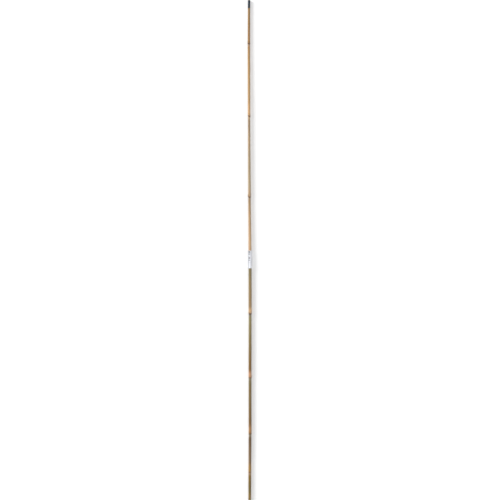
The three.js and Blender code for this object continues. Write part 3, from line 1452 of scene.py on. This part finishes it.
@dataclass
class SheathFringe:
    """The short papery fibres left standing on each sheath scar, except where the cane lies on it.

    Attributes:
        density: Fibres to the square metre of scar.
        length: A fibre's length before its random scaling.
        width: Its radius at the root.
        lean: How far it leans away from the skin.
        seed: The seed of everything random about it.
        tufts: How finely the noise that thins them out varies, in features to the metre.
        stray: The least and the greatest that each one's heading strays.
        sizes: The range of their random scaling.
    """

    density: float = 2.6e6
    length: float = 1.0 * MM
    width: float = 0.06 * MM
    lean: float = 0.26
    seed: int = 11
    tufts: float = 260.0
    stray: tuple[tuple[float, float, float], ...] = ((-0.25, 0.0, -0.25), (0.25, 0.3, 0.25))
    sizes: tuple[float, float] = (0.45, 1.25)

    def build(self, culm: bpy.types.Object) -> bpy.types.Object:
        """Scatters the fibres on the culm's scars.

        Args:
            culm: The finished culm, whose scar attribute says where they stand.

        Returns:
            The piece.
        """
        finish = SheathFibre().make()
        piece = new_object("sheath_fringe", culm.data.copy())
        modifier = piece.modifiers.new("fringe", "NODES")
        modifier.node_group = self._tree()
        set_inputs(modifier, {"Density": self.density, "Length": self.length, "Width": self.width,
                              "Lean": self.lean, "Seed": self.seed, "Material": finish})
        bake_modifiers(piece)
        return dress(piece, [finish])

    def _tree(self) -> bpy.types.NodeTree:
        """Builds the scatter tree.

        Returns:
            The tree.
        """
        tree = bpy.data.node_groups.new("sheath_fringe", "GeometryNodeTree")
        face = tree.interface
        face.new_socket("Geometry", in_out="OUTPUT", socket_type="NodeSocketGeometry")
        face.new_socket("Skin", in_out="INPUT", socket_type="NodeSocketGeometry")
        for name in ("Density", "Length", "Width", "Lean"):
            face.new_socket(name, in_out="INPUT", socket_type="NodeSocketFloat")
        face.new_socket("Seed", in_out="INPUT", socket_type="NodeSocketInt")
        face.new_socket("Material", in_out="INPUT", socket_type="NodeSocketMaterial")
        w = Wiring(tree)
        given = w.add("NodeGroupInput").outputs
        scar = w.named("scar")
        patchy = w.add("ShaderNodeTexNoise", {"Scale": self.tufts, "Detail": 1.0}).outputs[0]
        facing = w.add("ShaderNodeSeparateXYZ", {0: w.add("GeometryNodeInputNormal").outputs[0]}).outputs[2]
        kept = w.times(w.ramp(patchy, 0.4, 0.6, 0.15, 1.0), w.ramp(facing, -0.9, -0.6))
        density = w.times(given["Density"], w.ramp(scar, 0.45, 0.8), kept)
        scatter = w.add("GeometryNodeDistributePointsOnFaces", {
            "Mesh": given["Skin"], "Density": density, "Seed": given["Seed"]})
        blade = w.add("GeometryNodeMeshCone", {
            "Vertices": 4, "Radius Top": w.times(given["Width"], 0.2), "Radius Bottom": given["Width"],
            "Depth": given["Length"]}).outputs["Mesh"]
        outward = w.scaled(scatter.outputs["Normal"], given["Lean"])
        stray = w.add("FunctionNodeRandomValue", {
            0: self.stray[0], 1: self.stray[1], "Seed": given["Seed"]}, data_type="FLOAT_VECTOR")
        heading = w.moved(w.moved(outward, (0.0, 1.0, 0.0)), stray.outputs[0])
        turned = w.add("FunctionNodeAlignRotationToVector", {"Vector": heading}, axis="Z")
        sizes = w.add("FunctionNodeRandomValue", {
            2: self.sizes[0], 3: self.sizes[1], "Seed": given["Seed"]}, data_type="FLOAT")
        blades = w.add("GeometryNodeInstanceOnPoints", {
            "Points": scatter.outputs["Points"], "Instance": blade, "Rotation": turned.outputs[0],
            "Scale": sizes.outputs[1]}).outputs[0]
        real = w.add("GeometryNodeRealizeInstances", {"Geometry": blades}).outputs[0]
        done = w.add("GeometryNodeSetMaterial", {
            "Geometry": real, "Material": given["Material"]}).outputs[0]
        w.add("NodeGroupOutput", {"Geometry": done})
        return tree


# ---------------------------------------------------------------------------------------------
# The paint on the tip


@dataclass
class TipCoat:
    """The film of paint that the tip was dipped in: a thin cup with a wavering edge and a bead at its end.

    Attributes:
        spine: The culm's centreline and thickness.
        skin: The tree that spans it.
        clearance: The gap between the film and the culm.
        film: The film's thickness.
        bead: How far the paint that ran to the end stands out.
        bead_at: How far from the end the bead is fullest.
        waver: How far the dipped edge wavers.
        rounding: The rounding of the end.
        rings: How many rings each of its walls has.
        bunching: How much closer together they are towards the edge.
        bead_width: How far from its fullest the bead has fallen to about a third.
        lip: Where the film starts to thicken and where it is full, from the edge.
        thinnest: The share of its thickness that it has at the edge.
        crown: How far the end stands out at two fifths of its radius and at its middle.
        worn_end: How far back from the end it is chipped.
        fade: How far from the edge the wavering dies out.
    """

    spine: Spine
    skin: RingSkin
    clearance: float = 0.015 * MM
    film: float = 0.13 * MM
    bead: float = 0.14 * MM
    bead_at: float = 3.2 * MM
    waver: float = 0.55 * MM
    rounding: float = 1.1 * MM
    rings: int = 44
    bunching: float = 1.25
    bead_width: float = 2.2 * MM
    lip: tuple[float, float] = (-0.2 * MM, 0.9 * MM)
    thinnest: float = 0.25
    crown: tuple[float, float] = (0.05 * MM, 0.06 * MM)
    worn_end: float = 4 * MM
    fade: float = 8 * MM

    def build(self) -> bpy.types.Object:
        """Builds and dresses the coat.

        Returns:
            The piece.
        """
        finish = DippedPaint().make()
        low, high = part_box("tip_coat")
        start, end = low.y - self.spine.butt, high.y - self.spine.butt
        piece = self.skin.span("tip_paint_coat", self._rings(start, end), finish)
        lay_out_strips(piece.data, strips=2)
        return dress(piece, [finish], "tip_coat")

    def _rings(self, start: float, end: float) -> Rings:
        """Gives the rings from the inside of the end, down to the edge and back up to the end.

        Args:
            start: Where the coat's edge lies, from the butt.
            end: Where it ends.

        Returns:
            The rings.
        """
        spine = self.spine
        inner_end = spine.levels[-1] + self.clearance
        walk = start + (end - self.rounding - start) * np.linspace(0, 1, self.rings) ** self.bunching
        plain = spine.radius(walk)
        swelling = self.bead * np.exp(-(((end - walk - self.bead_at) / self.bead_width) ** 2))
        full = self.thinnest + (1 - self.thinnest) * smoothstep(*self.lip, walk - start)
        outer = outline(walk, plain + self.clearance + self.film * full + swelling)
        inner = outline(walk[::-1], plain[::-1] + self.clearance)
        last = outer[-1, 1]
        rounded = quarter_round(end, last, self.rounding, -1)[1:]
        points = np.vstack([outline(inner_end, [0.0, inner[0, 1] - self.rounding]), inner, outer, rounded,
                            outline(end + self.crown[0], last * 0.4), outline(end + self.crown[1], 0.0)])
        points[:, 3] = smoothstep(end - self.worn_end, end, points[:, 0])
        faded_print_and_shade = 1 - smoothstep(start, start + self.fade, points[:, 0])
        return rings_along(spine, points, self.waver * faded_print_and_shade)


# ---------------------------------------------------------------------------------------------
# The label


@dataclass
class WoundLabel:
    """The paper label: one sheet wound loosely round the culm and stuck to itself where it overlaps.

    Attributes:
        spine: The culm's centreline.
        paper: The paper's thickness.
        squareness: How boxy its section is: 2 is an ellipse.
        start: The angle round the culm at which the sheet starts, underneath.
        overlap: How far round it laps over its start.
        lift: How far the lapping end lies above the start.
        flare: How far its two ends stand open.
        ripple: How deep its ripples are.
        columns: How many steps it has round the culm.
        rows: How many steps it has along it.
        mouth: How far in from an end the flare has fallen to about a third.
        wavelengths: The lengths of its short and its long ripples.
    """

    FRONT_AREA = ((0.97, 0.76), (0.015, 0.01))  # the outer face's size and corner on the baked map
    BACK_AREA = ((0.97, 0.16), (0.015, 0.79))  # the back's
    EDGE_SPAN = (0.015, 0.985)  # where the four edges lie on it, across
    EDGE_BAND = (0.965, 0.985)  # and up

    spine: Spine
    paper: float = 0.13 * MM
    squareness: float = 2.3
    start: float = math.radians(-72)
    overlap: float = math.radians(58)
    lift: float = 0.2 * MM
    flare: float = 0.3 * MM
    ripple: float = 0.22 * MM
    columns: int = 132
    rows: int = 84
    mouth: float = 3 * MM
    wavelengths: tuple[float, float] = (23 * MM, 61 * MM)

    def build(self) -> bpy.types.Object:
        """Builds and dresses the label.

        Returns:
            The piece.
        """
        low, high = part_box("label")
        angle = self.start + np.linspace(0, TAU + self.overlap, self.columns + 1)
        along = np.linspace(0, high.y - low.y, self.rows + 1)
        half_height = (high.z - low.z) / 2 - self.lift
        half_width = (high.x - low.x) / 2 - self.lift
        centre = self.spine.centre(high.y - along - self.spine.butt)
        centre[:, 2] = (high.z + low.z) / 2
        sheet = self._sheet(angle, along, half_width, half_height) + centre[:, None, :]
        piece = new_object("paper_label", self._mesh(sheet, angle, along))
        return dress(piece, [LabelPaper().make(), PaperBack().make()], "label")

    def _sheet(self, angle: np.ndarray, along: np.ndarray, half_width: float,
               half_height: float) -> np.ndarray:
        """Gives the sheet's outer face about its centreline.

        Args:
            angle: The angle round the culm at each column.
            along: The distance from the tip-side end at each row.
            half_width: Half the section's width.
            half_height: Half its height.

        Returns:
            A grid of places, rows by columns by X, Y, Z.
        """
        power = 2 / self.squareness
        cosine, sine = np.cos(angle), np.sin(angle)
        section = np.column_stack([half_width * np.sign(cosine) * np.abs(cosine) ** power,
                                   half_height * np.sign(sine) * np.abs(sine) ** power])
        outward = section / np.linalg.norm(section, axis=1)[:, None]
        turned = angle - self.start - TAU
        lapped = self.lift * smoothstep(-0.9, -0.1, turned)
        lapped += 1.2 * self.lift * np.clip(turned / self.overlap, 0, 1) ** 3
        free = 0.5 + 0.5 * sine  # nothing stands out underneath, where it lies on the surface
        length = along[-1]
        edge = np.minimum(along, length - along)[:, None]
        opened = self.flare * np.exp(-edge / self.mouth) * (1 + 0.5 * np.cos(2 * angle + 0.7))
        short, long = (TAU * along[:, None] / wavelength for wavelength in self.wavelengths)
        waves = np.sin(short + 2 * angle) * np.cos(angle * 3 + 0.4)
        waves += 0.6 * np.sin(long - 3 * angle)
        rise = lapped + free * (opened + self.ripple * waves)
        grid = section[None] + outward[None] * rise[..., None]
        return np.stack([grid[..., 0], np.zeros_like(rise), grid[..., 1]], axis=-1)

    def _mesh(self, sheet: np.ndarray, angle: np.ndarray, along: np.ndarray) -> bpy.types.Mesh:
        """Gives the sheet its thickness and its maps.

        Args:
            sheet: The outer face's grid of places.
            angle: The angle at each column.
            along: The distance from the tip-side end at each row.

        Returns:
            The mesh: outer face, back and four edges.
        """
        rows, columns = sheet.shape[:2]
        across, down = np.gradient(sheet, axis=1), np.gradient(sheet, axis=0)
        normal = np.cross(across, down)
        normal /= np.linalg.norm(normal, axis=2)[..., None]
        outward = (normal * sheet_axis(sheet)).sum(axis=2).mean()
        inner = sheet - normal * math.copysign(self.paper, outward)
        place = np.vstack([sheet.reshape(-1, 3), inner.reshape(-1, 3)])
        count = rows * columns
        index = np.arange(count).reshape(rows, columns)
        quads = np.stack([index[:-1, :-1], index[:-1, 1:], index[1:, 1:], index[1:, :-1]], axis=-1)
        front = quads.reshape(-1, 4)
        back = front[:, ::-1] + count
        rim = np.concatenate([index[0], index[1:, -1], index[-1, -2::-1], index[-2::-1, 0]])
        edges = np.column_stack([rim[:-1], rim[:-1] + count, rim[1:] + count, rim[1:]])
        faces = np.vstack([front, back, edges])
        mesh = bpy.data.meshes.new("paper_label")
        mesh.from_pydata(place.tolist(), [], faces.tolist())
        slots = np.zeros(len(faces), np.int32)
        slots[len(front):] = 1
        mesh.polygons.foreach_set("material_index", slots)
        mesh.polygons.foreach_set("use_smooth", np.arange(len(faces)) < len(front) + len(back))
        self._map(mesh, sheet, angle, along, faces, len(front), len(back))
        mesh.validate()
        return mesh

    def _map(self, mesh: bpy.types.Mesh, sheet: np.ndarray, angle: np.ndarray, along: np.ndarray,
             faces: np.ndarray, fronts: int, backs: int) -> None:
        """Adds the Sheet map, in metres, and the map that the finish is baked through.

        Args:
            mesh: The label's mesh.
            sheet: The outer face's grid of places.
            angle: The angle at each column.
            along: The distance from the tip-side end at each row.
            faces: Its faces' corners.
            fronts: How many faces are on the outer face.
            backs: How many are on the back.
        """
        rows, columns = sheet.shape[:2]
        steps = np.linalg.norm(np.diff(sheet[rows // 2], axis=0), axis=1)
        arc = np.concatenate([[0.0], np.cumsum(steps)])
        across = np.interp(TAU / 4, angle, arc) - arc
        grid = np.stack(np.broadcast_arrays(across[None, :], along[:, None]), axis=-1).reshape(-1, 2)
        corners = faces.ravel() % (rows * columns)
        add_map(mesh, "Sheet", grid[corners])
        span, reach = arc[-1], along[-1]
        fitted = np.column_stack([grid[:, 1] / reach, (grid[:, 0] - across.min()) / span])
        baked = fitted[corners].reshape(-1, 4, 2)
        areas = ((slice(0, fronts), self.FRONT_AREA), (slice(fronts, fronts + backs), self.BACK_AREA))
        for side, (size, corner) in areas:
            baked[side] = baked[side] * size + corner
        edges = len(faces) - fronts - backs
        place = np.linspace(*self.EDGE_SPAN, edges + 1)
        near, far = self.EDGE_BAND
        baked[fronts + backs:, :, 0] = np.column_stack([place[:-1], place[:-1], place[1:], place[1:]])
        baked[fronts + backs:, :, 1] = (near, far, far, near)
        add_map(mesh, "OFBake", baked)


def sheet_axis(sheet: np.ndarray) -> np.ndarray:
    """Gives the direction from a wound sheet's middle line to each of its points."""
    away = sheet - sheet.mean(axis=1, keepdims=True)
    return away / np.linalg.norm(away, axis=2)[..., None]


# ---------------------------------------------------------------------------------------------
# The studio


@dataclass
class Studio:
    """A white surface under soft light from above and from the upper left, seen from straight above.

    Attributes:
        distance: How far the camera is above the cane.
        aside: How far to the right of the box's middle it is.
        sensor: The camera's sensor width, in millimetres.
        floor: Half the white surface's width.
        level: Its height.
        key: The direction towards the key light.
        key_strength: Its strength.
        key_angle: How wide it looks from the cane.
        fill: The direction towards the weak fill light.
        fill_strength: Its strength.
        fill_angle: How wide it looks.
        top_strength: The strength of the light from straight above.
        top_angle: How wide that light looks.
        ambient: The strength of the light from all round.
    """

    distance: float = 5.0
    aside: float = 1.0 * MM
    sensor: float = 36.0
    floor: float = 30.0
    level: float = -0.01 * MM
    key: tuple[float, float, float] = (-1.0, 0.6, 0.46)
    key_strength: float = 3.4
    key_angle: float = math.radians(27)
    fill: tuple[float, float, float] = (1.0, 0.1, 1.05)
    fill_strength: float = 0.55
    fill_angle: float = math.radians(30)
    top_strength: float = 1.3
    top_angle: float = math.radians(65)
    ambient: float = 0.25

    def build(self) -> None:
        """Builds the surface, the lights and the camera."""
        scene = bpy.context.scene
        scene.view_settings.view_transform = "Standard"
        scene.world = self._sky()
        self._ground()
        self._sun("key_light", Vector(self.key), self.key_strength, self.key_angle)
        self._sun("fill_light", Vector(self.fill), self.fill_strength, self.fill_angle)
        self._sun("top_light", Vector((0.0, 0.0, 1.0)), self.top_strength, self.top_angle)
        scene.camera = self._camera()

    def _sun(self, name: str, toward: Vector, strength: float, angle: float) -> None:
        """Adds a soft distant light.

        Args:
            name: Its name.
            toward: The direction towards it.
            strength: Its strength.
            angle: How wide it looks.
        """
        light = bpy.data.lights.new(name, "SUN")
        light.energy = strength
        light.angle = angle
        lamp = bpy.data.objects.new(name, light)
        lamp.rotation_euler = toward.to_track_quat("Z", "Y").to_euler()
        bpy.context.scene.collection.objects.link(lamp)

    def _sky(self) -> bpy.types.World:
        """Makes an even sky, white where the camera sees it.

        Returns:
            The world.
        """
        world = bpy.data.worlds.new("soft_room")
        world.use_nodes = True
        w = Wiring(world.node_tree)
        seen = w.add("ShaderNodeLightPath").outputs["Is Camera Ray"]
        background = world.node_tree.nodes["Background"]
        w.feed(background.inputs["Color"], (1.0, 1.0, 1.0, 1.0))
        w.feed(background.inputs["Strength"], w.plus(w.times(seen, 1.0 - self.ambient), self.ambient))
        return world

    def _ground(self) -> None:
        """Lays the white surface just under the cane."""
        reach = self.floor
        corners = [(x * reach, y * reach, self.level) for x, y in ((-1, -1), (1, -1), (1, 1), (-1, 1))]
        mesh = bpy.data.meshes.new("ground")
        mesh.from_pydata(corners, [], [(0, 1, 2, 3)])
        mesh.materials.append(WhiteGround().make())
        new_object("ground", mesh)

    def _camera(self) -> bpy.types.Object:
        """Sets the camera over the cane's middle so that the cane just fills the frame.

        Returns:
            The camera.
        """
        low, high = CAD_BOX
        data = bpy.data.cameras.new("camera")
        data.sensor_width = self.sensor
        data.lens = self.sensor * self.distance / (high.y - low.y)
        data.clip_end = 4 * self.floor
        camera = bpy.data.objects.new("camera", data)
        camera.location = (self.aside, (low.y + high.y) / 2, self.distance + high.z / 2)
        bpy.context.scene.collection.objects.link(camera)
        return camera


def main() -> None:
    """Builds the cane piece by piece, then the studio round it."""
    logging.basicConfig(level=logging.INFO, format="%(name)s: %(message)s")
    spine = Spine.read("culm", CAD_BOX)
    skin = RingSkin(sides=64)
    culm = Culm(spine, skin).build()
    SheathFringe().build(culm)
    TipCoat(spine, skin).build()
    WoundLabel(spine).build()
    Studio().build()


if __name__ == "__main__":
    main()
